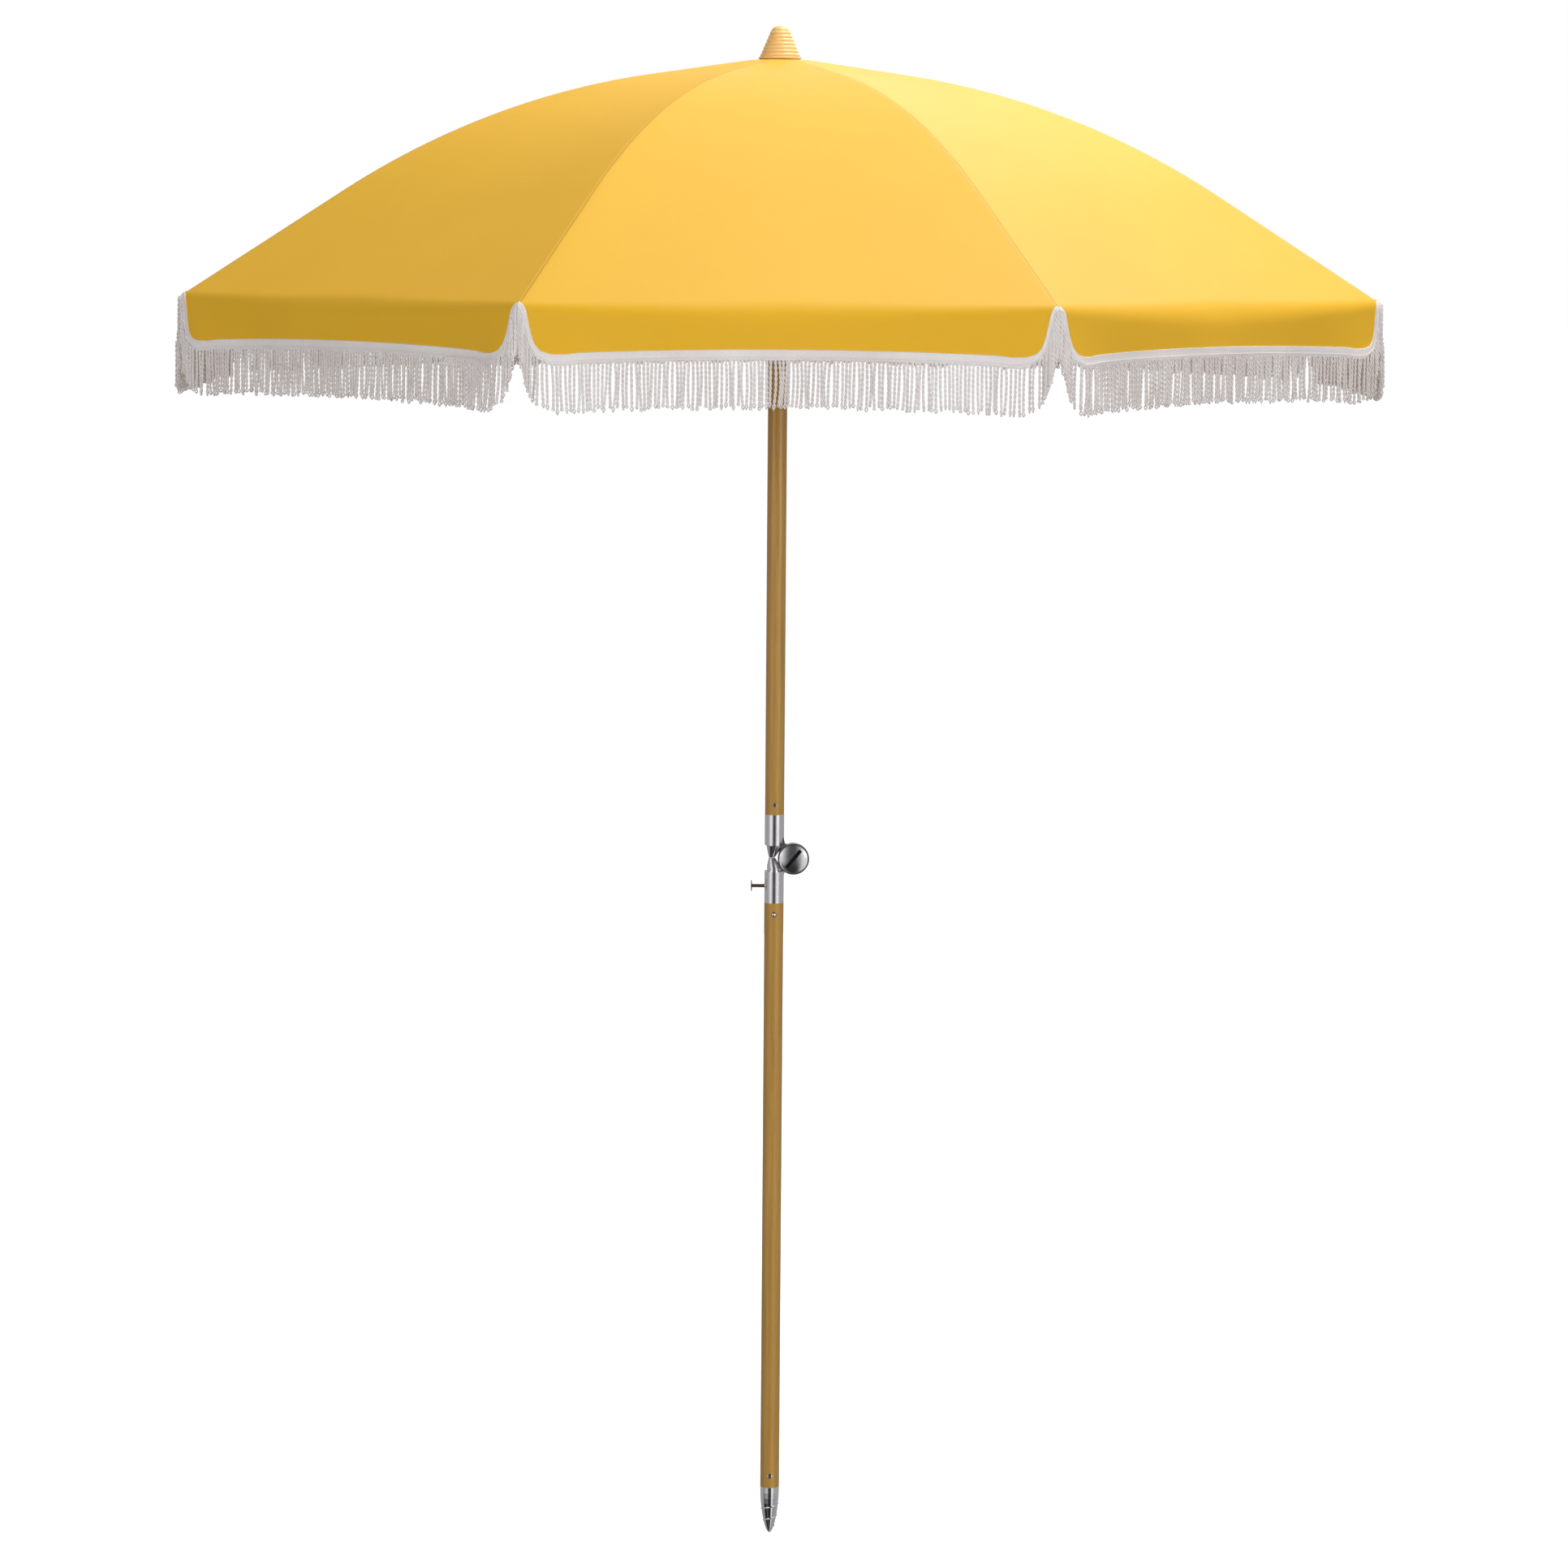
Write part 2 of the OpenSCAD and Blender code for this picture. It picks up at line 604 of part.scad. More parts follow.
// Two hanging strips, one each side of the rib, between two heights.
module skirt(i, out, t, top, bottom, notch) {
    steps = 5;
    rim = corner_radius + out;
    start = notch / (rim * sin(half_gore));
    for (side = [0, 1]) at_rib(i) mirror([0, side, 0]) sheet(
        [for (k = [0:steps]) let (s = start + (1 - start) * k / steps)
            [gore(rim, s, top), gore(rim, s, bottom)]],
        [-t * cos(half_gore), -t * sin(half_gore), 0]);
}
module valance(i) {
    color(cloth) skirt(i, 0, cloth_t, corner_z - 3, corner_z - 3 - valance_drop, notch_half);
}
module fringe(i) {
    color("linen") skirt(i, 6, 5, corner_z - 4 - valance_drop,
        corner_z - valance_drop - fringe_drop, 4);
}

ground_spike();
spike_rivet();
lower_pole();
coupling_tube();
snap_button();
lower_hinge();
pull_pin();
pin_spring();
tilt_knob();
knob_nut();
hinge_spring();
upper_hinge();
upper_rivet();
upper_pole();
runner_catch();
runner();
runner_wire();
crown_hub();
crown_wire();
finial();
for (i = [1:rib_count]) {
    rib(i);
    strut(i);
    canopy(i);
    valance(i);
    fringe(i);
}
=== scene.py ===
"""Looks of the beach umbrella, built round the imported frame. Metres, Z up."""
import json
import math

import bpy
import numpy as np
from mathutils import Matrix, Vector


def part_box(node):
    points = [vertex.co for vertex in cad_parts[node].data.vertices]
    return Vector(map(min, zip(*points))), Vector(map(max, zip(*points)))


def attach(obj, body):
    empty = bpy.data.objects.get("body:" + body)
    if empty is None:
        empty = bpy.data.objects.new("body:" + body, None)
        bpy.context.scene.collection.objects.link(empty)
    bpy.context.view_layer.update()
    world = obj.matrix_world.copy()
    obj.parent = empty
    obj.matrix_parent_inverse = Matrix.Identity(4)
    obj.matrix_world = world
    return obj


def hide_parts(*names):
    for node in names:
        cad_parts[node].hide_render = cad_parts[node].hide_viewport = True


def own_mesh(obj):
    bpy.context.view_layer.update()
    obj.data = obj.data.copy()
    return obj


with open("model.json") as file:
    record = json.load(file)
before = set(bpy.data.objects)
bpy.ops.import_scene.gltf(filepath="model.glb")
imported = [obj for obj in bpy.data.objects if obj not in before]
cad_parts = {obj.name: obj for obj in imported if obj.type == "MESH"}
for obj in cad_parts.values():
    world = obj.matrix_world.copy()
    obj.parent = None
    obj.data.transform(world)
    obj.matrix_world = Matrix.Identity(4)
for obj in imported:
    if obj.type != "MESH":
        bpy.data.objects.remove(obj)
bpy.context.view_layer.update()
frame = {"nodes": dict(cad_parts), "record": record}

MM = 0.001
RIBS = 8
HALF_GORE = math.pi / RIBS
SIN_H, COS_H, TAN_H = math.sin(HALF_GORE), math.cos(HALF_GORE), math.tan(HALF_GORE)
rng = np.random.default_rng(7)

# ---------------------------------------------------------------- sizes
CLOTH = 0.9 * MM                                 # thickness of the canvas
canopy_low, canopy_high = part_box("canopy_1")
CORNER_R = canopy_high.x / COS_H                 # rib tip: distance from the pole, and height
CORNER_Z = canopy_low.z + 1.2 * MM
CROWN_Z = CORNER_Z + 310 * MM
INNER_SLOPE, OUTER_SLOPE = math.radians(8.5), math.radians(32)
BEND_R = 1080 * MM                               # radius of a rib's bend between its straight ends
CROWN_FLAT_R, CROWN_HOLE_R = 40 * MM, 13 * MM
HALF_RIM = CORNER_R * SIN_H                      # rim length from a rib tip to mid-gore
RIM_SLOPE = math.atan(math.tan(OUTER_SLOPE) / COS_H)
SEAM_ROUND = 3.5 * MM                            # rounding of the cloth over a rib
GORE_DIP, DIP_EASE = 9 * MM, 100 * MM            # sag between ribs, and how soon it starts

SHOULDER_TIP_R, SHOULDER_MID_R = 11 * MM, 44 * MM
FOLD_LAP = 1.5 * MM                              # how far the canopy laps over the valance's fold

BAND_ROOT = -2.2 * MM                            # top of the band, above the cloth's edge
BAND_COLUMNS = 17
STRAND_L, STRAND_STEP, STRAND_LAY = 54 * MM, 4.6 * MM, 11.6 * MM
STRAND_SIDES, STRAND_KINDS = 6, 12

SLOT_ANGLE = math.radians(51)                    # the coin slot across the tilt knob, painted as dark shade on its dome
SLOT_HALF_L, SLOT_HALF_W = 14.9 * MM, 2.35 * MM
SHARP = math.radians(50)


# ---------------------------------------------------------------- materials
class Nodes:
    """Writes the node tree of a new material or world."""

    def __init__(self, owner):
        owner.use_nodes = True
        self.owner = owner
        self.tree = owner.node_tree

    def add(self, kind, inputs=None, **settings):
        node = self.tree.nodes.new(kind)
        for key, value in settings.items():
            setattr(node, key, value)
        for key, value in (inputs or {}).items():
            self.plug(node.inputs[key], value)
        return node

    def plug(self, socket, value):
        if isinstance(value, bpy.types.NodeSocket):
            self.tree.links.new(value, socket)
        else:
            socket.default_value = value

    def math(self, op, a, b=0.0):
        return self.add("ShaderNodeMath", {0: a, 1: b}, operation=op).outputs[0]

    def band(self, value, centre, half, soft):
        """1 within half of centre, fading to 0 over soft."""
        away = self.math("ABSOLUTE", self.math("SUBTRACT", value, centre))
        return self.add("ShaderNodeMapRange", {"Value": away, "From Min": half + soft,
                        "From Max": half, "To Min": 0.0, "To Max": 1.0}).outputs[0]

    def ramp(self, value, stops):
        node = self.add("ShaderNodeValToRGB", {"Fac": value})
        while len(node.color_ramp.elements) < len(stops):
            node.color_ramp.elements.new(0.5)
        for element, (place, colour) in zip(node.color_ramp.elements, stops):
            element.position = place
            element.color = (*colour, 1)
        return node.outputs[0]

    def mix(self, factor, a, b):
        node = self.add("ShaderNodeMix", data_type="RGBA")
        for key, value in ((0, factor), (6, a), (7, b)):
            self.plug(node.inputs[key], value)
        return node.outputs[2]

    def noise(self, vector, scale, detail=3.0, rough=0.5):
        return self.add("ShaderNodeTexNoise", {"Vector": vector, "Scale": scale,
                        "Detail": detail, "Roughness": rough}).outputs[0]

    def place(self, scale=(1, 1, 1)):
        coords = self.add("ShaderNodeTexCoord").outputs["Object"]
        return self.add("ShaderNodeMapping", {"Vector": coords, "Scale": scale}).outputs[0]

    def bump(self, height, strength, distance, normal=None):
        inputs = {"Height": height, "Strength": strength, "Distance": distance}
        if normal is not None:
            inputs["Normal"] = normal
        return self.add("ShaderNodeBump", inputs).outputs[0]

    def finish(self, **sockets):
        shader = self.tree.nodes["Principled BSDF"]
        for key, value in sockets.items():
            self.plug(shader.inputs[key.replace("_", " ")], value)
        return self.owner


def material_nodes(name):
    return Nodes(bpy.data.materials.new(name))


def shaded(colour, share):
    return tuple(share * c for c in colour)


def rgb(r, g, b):
    """Linear colour from 0 to 255 display values."""
    out = []
    for v in (r, g, b):
        v /= 255
        out.append(v / 12.92 if v <= 0.04045 else ((v + 0.055) / 1.055) ** 2.4)
    return tuple(out)


def cloth_material():
    """Plain-weave yellow canvas with felled, twice-stitched seams along the ribs."""
    n = material_nodes("yellow_canvas")
    uv = n.add("ShaderNodeTexCoord").outputs["UV"]
    u, v = n.add("ShaderNodeSeparateXYZ", {"Vector": uv}).outputs[:2]
    thread = 2 * math.pi / (0.62 * MM)
    warp = n.math("SINE", n.math("MULTIPLY", u, thread))
    weft = n.math("SINE", n.math("MULTIPLY", v, thread))
    weave = n.math("MULTIPLY", warp, weft)
    slub = n.noise(n.place(), 900, 2)
    cloud = n.noise(n.place(), 5, 4, 0.6)
    seam = n.band(n.math("ABSOLUTE", u), 0.0, 0.5 * MM, 0.9 * MM)
    row = n.band(n.math("ABSOLUTE", u), 3.4 * MM, 0.3 * MM, 0.3 * MM)
    pitch = n.math("SINE", n.math("MULTIPLY", v, 2 * math.pi / (3 * MM)))
    stitch = n.math("MULTIPLY", row, n.math("GREATER_THAN", pitch, -0.4))
    base = n.ramp(cloud, [(0.25, (0.79, 0.44, 0.014)), (0.75, (0.83, 0.465, 0.017))])
    base = n.mix(n.math("MULTIPLY", weave, 0.10), base, (0.62, 0.30, 0.012, 1))
    base = n.mix(n.math("MULTIPLY", seam, 0.4), base, (0.46, 0.21, 0.012, 1))
    base = n.mix(n.math("MULTIPLY", stitch, 0.5), base, (0.86, 0.50, 0.06, 1))
    height = n.math("ADD", n.math("MULTIPLY", weave, 0.5), n.math("MULTIPLY", slub, 0.6))
    fine = n.bump(height, 0.22, 0.12 * MM)
    sewn = n.math("SUBTRACT", stitch, n.math("MULTIPLY", seam, 1.5))
    return n.finish(Base_Color=base, Normal=n.bump(sewn, 0.6, 0.5 * MM, fine), Roughness=0.58,
                    Sheen_Weight=0.04, Sheen_Roughness=0.5, Specular_IOR_Level=0.35)


def cord_material():
    """Off-white twisted cotton, a little pink in the shadows."""
    n = material_nodes("bullion_cord")
    patch = n.noise(n.place(), 14, 3)
    fibre = n.noise(n.place((1, 1, 0.25)), 1500, 3, 0.6)
    base = n.ramp(patch, [(0.3, (0.80, 0.745, 0.73)), (0.7, (0.90, 0.875, 0.865))])
    base = n.mix(n.math("MULTIPLY", fibre, 0.5), base, (0.66, 0.58, 0.56, 1))
    return n.finish(Base_Color=base, Normal=n.bump(fibre, 0.35, 0.2 * MM), Roughness=0.5,
                    Sheen_Weight=0.2, Sheen_Roughness=0.4)


def wood_material():
    """Wood-grain film under clear gloss: long streaks down the pole."""
    n = material_nodes("wood_grain")
    streak = n.noise(n.place((1, 1, 0.035)), 230, 6, 0.62)
    ring = n.noise(n.place((1, 1, 0.012)), 60, 3, 0.5)
    pore = n.noise(n.place((1, 1, 0.06)), 1400, 2, 0.6)
    base = n.ramp(streak, [(0.28, rgb(158, 116, 44)), (0.5, rgb(186, 141, 60)),
                           (0.75, rgb(211, 164, 78))])
    base = n.mix(0.45, base, n.ramp(ring, [(0.3, rgb(166, 123, 46)), (0.7, rgb(205, 157, 72))]))
    dark = n.add("ShaderNodeMapRange",
                 {"Value": pore, "From Min": 0.62, "From Max": 0.75}).outputs[0]
    base = n.mix(n.math("MULTIPLY", dark, 0.3), base, (*rgb(110, 72, 28), 1))
    return n.finish(Base_Color=base, Normal=n.bump(streak, 0.12, 0.2 * MM), Roughness=0.45,
                    Coat_Weight=0.3, Coat_Roughness=0.14)


def metal_material(name, colour, rough, spread, grain, strength, painted_recess_shade=None):
    """Metal with fine grain in colour, roughness and bump; grain stretches the pattern. An optional
    mask function paints shade near-black into the colour, as in a recess.
    """
    n = material_nodes(name)
    lines = n.noise(n.place(grain), 900, 3, 0.6)
    smear = n.noise(n.place(), 70, 3)
    roughness = n.add("ShaderNodeMapRange", {"Value": smear, "From Min": 0.3, "From Max": 0.7,
                      "To Min": rough, "To Max": rough + spread}).outputs[0]
    base = n.ramp(lines, [(0.3, shaded(colour, 0.86)), (0.7, colour)])
    if painted_recess_shade:
        # painted shade: near-black mixed into the colour inside the mask
        base = n.mix(painted_recess_shade(n), base, (0.10, 0.095, 0.105, 1))
    return n.finish(Base_Color=base, Metallic=1.0, Roughness=roughness,
                    Normal=n.bump(lines, strength, 0.1 * MM))


def coin_slot_painted_shade(n):
    """1 inside the slot that crosses the knob's dome, where the slot's shade is painted near-black.
    """
    low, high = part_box("tilt_knob")
    x, _, z = n.add("ShaderNodeSeparateXYZ", {"Vector": n.place()}).outputs
    x, z = (n.math("SUBTRACT", v, (low[k] + high[k]) / 2) for v, k in ((x, 0), (z, 2)))
    c, s = math.cos(SLOT_ANGLE), math.sin(SLOT_ANGLE)
    along = n.math("ADD", n.math("MULTIPLY", x, c), n.math("MULTIPLY", z, s))
    across = n.math("SUBTRACT", n.math("MULTIPLY", z, c), n.math("MULTIPLY", x, s))
    return n.math("MULTIPLY", n.band(across, 0.0, SLOT_HALF_W, 0.1 * MM),
                  n.band(along, 0.0, SLOT_HALF_L, 0.1 * MM))


def plastic_material(name, colour, rough):
    """Moulded plastic with faint flow marks and a fine grained skin."""
    n = material_nodes(name)
    flow = n.noise(n.place((1, 1, 2.5)), 45, 4)
    skin = n.noise(n.place(), 1600, 2)
    base = n.ramp(flow, [(0.3, shaded(colour, 0.93)), (0.7, colour)])
    return n.finish(Base_Color=base, Roughness=rough, Normal=n.bump(skin, 0.18, 0.1 * MM))


def paint_material(name, colour):
    """Powder coat with orange peel."""
    n = material_nodes(name)
    peel = n.noise(n.place(), 700, 3)
    base = n.ramp(n.noise(n.place(), 12, 3), [(0.3, shaded(colour, 0.94)), (0.7, colour)])
    return n.finish(Base_Color=base, Roughness=0.4, Normal=n.bump(peel, 0.2, 0.2 * MM))


CANVAS = cloth_material()
CORD = cord_material()
WOOD = wood_material()
CHROME = metal_material("chrome", rgb(232, 230, 230), 0.07, 0.06, (1, 1, 1), 0.02)
SATIN = metal_material("satin_aluminium", rgb(222, 220, 223), 0.17, 0.07, (1, 1, 14), 0.06)
# satin metal with the coin slot's shade painted near-black on the dome
KNOB = metal_material("satin_knob_slot_shade", rgb(222, 220, 223), 0.17, 0.07, (1, 14, 1), 0.06, coin_slot_painted_shade)
STEEL = metal_material("spring_steel", rgb(190, 190, 194), 0.28, 0.12, (1, 1, 1), 0.06)
IVORY = plastic_material("ivory_plastic", rgb(236, 231, 220), 0.45)
TAN = plastic_material("tan_plastic", rgb(240, 196, 124), 0.42)
COAT = paint_material("white_coat", rgb(232, 231, 228))
BY_SLOT = {"chrome": CHROME, "satin_metal": SATIN, "wood_look": WOOD, "spring_steel": STEEL,
           "frame_steel": COAT, "hub_plastic": IVORY, "finial_plastic": TAN}


# ---------------------------------------------------------------- mesh helpers
def make_mesh(name, points, faces, material, uvs=None, smooth=True):
    mesh = bpy.data.meshes.new(name)
    points = np.asarray(points, float).reshape(-1, 3)
    faces = np.asarray(faces, np.int32)
    mesh.vertices.add(len(points))
    mesh.vertices.foreach_set("co", points.ravel())
    mesh.loops.add(faces.size)
    mesh.loops.foreach_set("vertex_index", faces.ravel())
    mesh.polygons.add(len(faces))
    mesh.polygons.foreach_set("loop_start", np.arange(0, faces.size, faces.shape[1], dtype=np.int32))
    if uvs is not None:
        layer = mesh.uv_layers.new(name="UVMap")
        layer.data.foreach_set("uv", np.asarray(uvs, float).reshape(-1, 2)[faces.ravel()].ravel())
    mesh.update(calc_edges=True)
    mesh.validate()
    if smooth:
        mesh.shade_smooth()
        mesh.set_sharp_from_angle(angle=SHARP)
    mesh.materials.append(material)
    obj = bpy.data.objects.new(name, mesh)
    bpy.context.scene.collection.objects.link(obj)
    return obj


def run_along(points):
    """Length along a line of points, from its start to each of them."""
    steps = np.linalg.norm(np.diff(points, axis=0), axis=1)
    return np.concatenate([[0], np.cumsum(steps)])


def grid_faces(rows, columns, start=0, flip=False):
    k, j = np.meshgrid(np.arange(rows - 1), np.arange(columns - 1), indexing="ij")
    a = (start + k * columns + j).ravel()
    quads = np.stack([a, a + 1, a + columns + 1, a + columns], 1)
    return quads[:, ::-1] if flip else quads


def shell_faces(rows, columns, flip=False):
    """Faces of a closed sheet: its first side, its second side and the rim between them."""
    count = rows * columns
    ring = np.concatenate([
        np.arange(columns), np.arange(1, rows) * columns + columns - 1,
        (rows - 1) * columns + np.arange(columns - 2, -1, -1),
        np.arange(rows - 2, 0, -1) * columns])
    nxt = np.roll(ring, -1)
    rim = np.stack([ring, nxt, nxt + count, ring + count], 1)
    return np.concatenate([grid_faces(rows, columns, flip=not flip),
                           grid_faces(rows, columns, count, flip=flip),
                           rim[:, ::-1] if flip else rim])


def thick_sheet(grid, thickness):
    """Two-sided closed sheet from a grid of points: the second side lies below the first."""
    normal = np.cross(np.gradient(grid, axis=0), np.gradient(grid, axis=1))
    normal /= np.linalg.norm(normal, axis=2, keepdims=True) + 1e-12
    points = np.concatenate([grid.reshape(-1, 3), (grid - thickness * normal).reshape(-1, 3)])
    return points, shell_faces(*grid.shape[:2])


def turned(points, angle):
    c, s = math.cos(angle), math.sin(angle)
    return points @ np.array([[c, s, 0], [-s, c, 0], [0, 0, 1]])


def rib_angle(i):
    return HALF_GORE + (i - 1) * 2 * HALF_GORE


# ---------------------------------------------------------------- canopy shape
def shoulder_radius(along):
    """The cloth folds over the rim tightly at a rib tip and softly at mid-gore."""
    share = np.clip(along / HALF_RIM, 0, 1) ** 0.8
    return SHOULDER_TIP_R + (SHOULDER_MID_R - SHOULDER_TIP_R) * share


def shoulder_back(along):
    """How far inside the rim line the fold starts."""
    return shoulder_radius(along) * math.tan((math.pi / 2 - RIM_SLOPE) / 2)


def fold_start(t):
    """Rib distance at which the canopy cloth hands over to the valance, at a fraction t."""
    x = np.full(np.shape(t), CORNER_R)
    for _ in range(4):
        x = CORNER_R - shoulder_back(HALF_RIM - x * SIN_H * (1 - np.abs(t))) / COS_H
    return x


def profile_drop(x):
    """Fall of the cloth along a rib at distance x from the axis."""
    x = np.asarray(x, float)
    s0, s1 = math.sin(INNER_SLOPE), math.sin(OUTER_SLOPE)
    t0, t1 = math.tan(INNER_SLOPE), math.tan(OUTER_SLOPE)
    c0, c1 = math.cos(INNER_SLOPE), math.cos(OUTER_SLOPE)
    fall = CROWN_Z - CORNER_Z
    outer = (fall - t0 * (CORNER_R - BEND_R * (s1 - s0)) - BEND_R * (c0 - c1)) / (t1 - t0)
    run = CORNER_R - BEND_R * (s1 - s0) - outer
    sine = np.clip(s0 + (x - run) / BEND_R, s0, s1)
    past = np.maximum(x - run - BEND_R * (s1 - s0), 0)
    return np.minimum(x, run) * t0 + BEND_R * (c0 - np.sqrt(1 - sine ** 2)) + past * t1


def cloth_z(x):
    return CROWN_Z - profile_drop(np.maximum(x, CROWN_FLAT_R))


def gore_point(x, t):
    """Cloth point at rib distance x; t runs from -1 to 1 across the sector, 0 on the rib."""
    side = x * t * SIN_H * COS_H
    depth = np.sqrt(side ** 2 + SEAM_ROUND ** 2) - SEAM_ROUND
    sag = GORE_DIP * np.clip(x / CORNER_R, 0, 1) * np.abs(t) * (2 - np.abs(t))
    sag *= np.clip((x - CROWN_FLAT_R) / DIP_EASE, 0, 1)
    slope = np.arctan((profile_drop(x + MM) - profile_drop(x)) / MM)
    inward, down = sag * np.sin(slope), sag * np.cos(slope)
    edge = x * SIN_H * COS_H
    edge_depth = np.sqrt(edge ** 2 + SEAM_ROUND ** 2) - SEAM_ROUND
    # Slide along the gore's chord, so that both sectors end on the plane between their ribs.
    slide = ((x - edge_depth * TAN_H - inward) * TAN_H - edge) * COS_H ** 2 * np.abs(t) ** 3
    out = x - depth * TAN_H - inward - slide * TAN_H
    return np.stack([out, side + np.sign(t) * slide, cloth_z(x) - down], -1)


def canopy_sector(i):
    """Cloth over one rib, from mid-gore to mid-gore, stopping where the shoulder bends down."""
    half = np.concatenate([np.linspace(0, 0.03, 6), np.linspace(0.03, 1, 26)[1:]])
    across = np.concatenate([-half[:0:-1], half])
    share, t = np.meshgrid(np.linspace(0, 1, 90) ** 0.9, across, indexing="ij")
    x = CROWN_HOLE_R + (fold_start(t) + FOLD_LAP - CROWN_HOLE_R) * share
    grid = gore_point(x, t)
    run = run_along(grid[:, len(half) - 1])
    uv = np.stack([grid[:, :, 1], np.repeat(run[:, None], len(across), 1)], -1).reshape(-1, 2)
    points, faces = thick_sheet(grid, CLOTH)
    angle = rib_angle(i)
    obj = make_mesh(f"canopy_cloth_{i}", turned(points, angle), faces, CANVAS,
                    np.tile(uv, (2, 1)))
    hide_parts(f"canopy_{i}")
    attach(obj, f"rib_{i}_body")
    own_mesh(obj)


# ---------------------------------------------------------------- valance, braid and fringe
def edge_line():
    """Lower edge of the valance from the rib tip to mid-gore: (along the rim, above the rim)."""
    notch = np.array([[0, 3], [5, 1.5], [8.5, -6], [11, -18], [14, -32], [18.5, -44],
                      [26, -51.5], [38, -54.5], [54, -54]]) * MM
    along = np.linspace(70 * MM, HALF_RIM, 24)
    bow = ((HALF_RIM - along) / (HALF_RIM - 50 * MM)) ** 2
    points = np.concatenate([notch, np.stack([along, -42 * MM - 11 * MM * bow], 1)])
    chord = run_along(points)
    fine = np.linspace(0, chord[-1], 900)
    smooth = np.stack([np.interp(fine, chord, points[:, k]) for k in (0, 1)], 1)
    reach = 14
    kernel = np.hanning(2 * reach + 1)
    kernel /= kernel.sum()
    padded = np.concatenate([smooth[reach:0:-1] * [-1, 1], smooth,
                             smooth[-2:-2 - reach:-1] * [-1, 1] + [2 * HALF_RIM, 0]])
    smooth = np.stack([np.convolve(padded[:, k], kernel, "valid") for k in (0, 1)], 1)
    smooth[0, 0], smooth[-1, 0] = 0, HALF_RIM
    return smooth, run_along(smooth)


EDGE, EDGE_RUN = edge_line()


def shoulder(length, along):
    """(outward, above the rim) at a length down the cloth from the start of the fold."""
    radius, back = shoulder_radius(along), shoulder_back(along)
    arc = radius * (math.pi / 2 - RIM_SLOPE)
    angle = RIM_SLOPE + np.clip(length, 0, arc) / radius
    out = -back + radius * (np.sin(angle) - math.sin(RIM_SLOPE))
    up = back * math.tan(RIM_SLOPE) - radius * (math.cos(RIM_SLOPE) - np.cos(angle))
    return out, up - np.maximum(length - arc, 0)


def fold_outward(along, up):
    """Outward place of the folded cloth at a height, the arc solved for its angle."""
    radius, back = shoulder_radius(along), shoulder_back(along)
    rise = up - back * math.tan(RIM_SLOPE) + radius * math.cos(RIM_SLOPE)
    sine = np.sqrt(1 - np.clip(rise / radius, 0, math.cos(RIM_SLOPE)) ** 2)
    return -back + radius * (sine - math.sin(RIM_SLOPE))


def ripple(along, up):
    """Gentle outward waves of the hanging cloth; even at mid-gore and dying out at the rim."""
    hang = np.clip(-up / (55 * MM), 0, 1.6) ** 1.5
    phase = (HALF_RIM - along) / HALF_RIM
    wave = 1.6 * np.cos(phase * 2.1 * math.pi) + 0.9 * np.cos(phase * 5.3 * math.pi)
    flare = 5.0 * np.exp(-((along - 30 * MM) / (28 * MM)) ** 2)
    return (wave + flare) * MM * hang


def rim_place(along, out, up, side):
    """Point in the rib's frame from rim coordinates; side is 1 or -1 of the rib."""
    dip = GORE_DIP * (along / HALF_RIM) * (2 - along / HALF_RIM)
    depth = np.sqrt((along * COS_H) ** 2 + SEAM_ROUND ** 2) - SEAM_ROUND
    inward = dip * math.sin(OUTER_SLOPE)
    x = CORNER_R - depth * TAN_H + out * COS_H - inward
    y = np.maximum(along * COS_H + out * SIN_H, np.minimum(along, 0.3 * MM))
    z = CORNER_Z + up - dip * math.cos(OUTER_SLOPE)
    return np.stack(np.broadcast_arrays(x, side * y, z), -1)


def gather(obj, i):
    """Hangs a half strip on its hem's body and gives it a mesh of its own."""
    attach(obj, f"hem_{i}_body")
    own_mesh(obj)


def piece_name(kind, i, side):
    return f"{kind}_{i}_{'left' if side > 0 else 'right'}"


def valance(i, side):
    """Hanging half strip of cloth beside a rib tip, folded over the rim; also gives its area."""
    order = np.unique(np.concatenate([np.arange(0, 300, 6), np.arange(300, 900, 12), [899]]))
    lengths = np.linspace(0, 120 * MM, 600)
    rows = 20
    grid, uv = [], []
    for along, edge in EDGE[order]:
        _, heights = shoulder(lengths, along)
        reach = np.interp(-edge, -heights, lengths) * np.linspace(0, 1, rows)
        out, up = shoulder(reach, along)
        along = np.full(rows, along)
        grid.append(rim_place(along, out + ripple(along, up), up, side))
        uv.append(np.stack([along + 30 * MM, reach], 1))
    grid = np.array(grid)
    if side < 0:
        grid, uv = grid[::-1], uv[::-1]
    points, faces = thick_sheet(grid, CLOTH)
    obj = make_mesh(piece_name("valance_cloth", i, side), turned(points, rib_angle(i)), faces,
                    CANVAS, np.tile(np.concatenate(uv), (2, 1)))
    diagonals = np.cross(grid[1:, 1:] - grid[:-1, :-1], grid[1:, :-1] - grid[:-1, 1:])
    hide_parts(f"valance_{i}")
    gather(obj, i)
    return obj, float(np.linalg.norm(diagonals, axis=2).sum() / 2)


def band_point(index, offset, lift, side):
    """Point of the trim band: offset runs away from the cloth, lift stands off its face."""
    tangent = np.gradient(EDGE, axis=0)
    tangent /= np.linalg.norm(tangent, axis=1, keepdims=True)
    away = np.stack([tangent[:, 1], -tangent[:, 0]], 1)
    place = EDGE[index] + away[index] * offset[..., None]
    along = np.maximum(place[..., 0], 0.2 * MM)
    up = place[..., 1]
    out = fold_outward(along, up) + ripple(along, up) + lift
    return rim_place(along, out, up, side)


def band_width(index):
    """The band is squeezed narrower where it runs up the notch at a rib."""
    return (7.5 + 5.5 * np.clip((EDGE[index, 0] - 14 * MM) / (26 * MM), 0, 1)) * MM


def nearest_edge_index(run):
    """Index into EDGE of the point at a length along it."""
    return np.interp(run, EDGE_RUN, np.arange(len(EDGE))).round().astype(int)


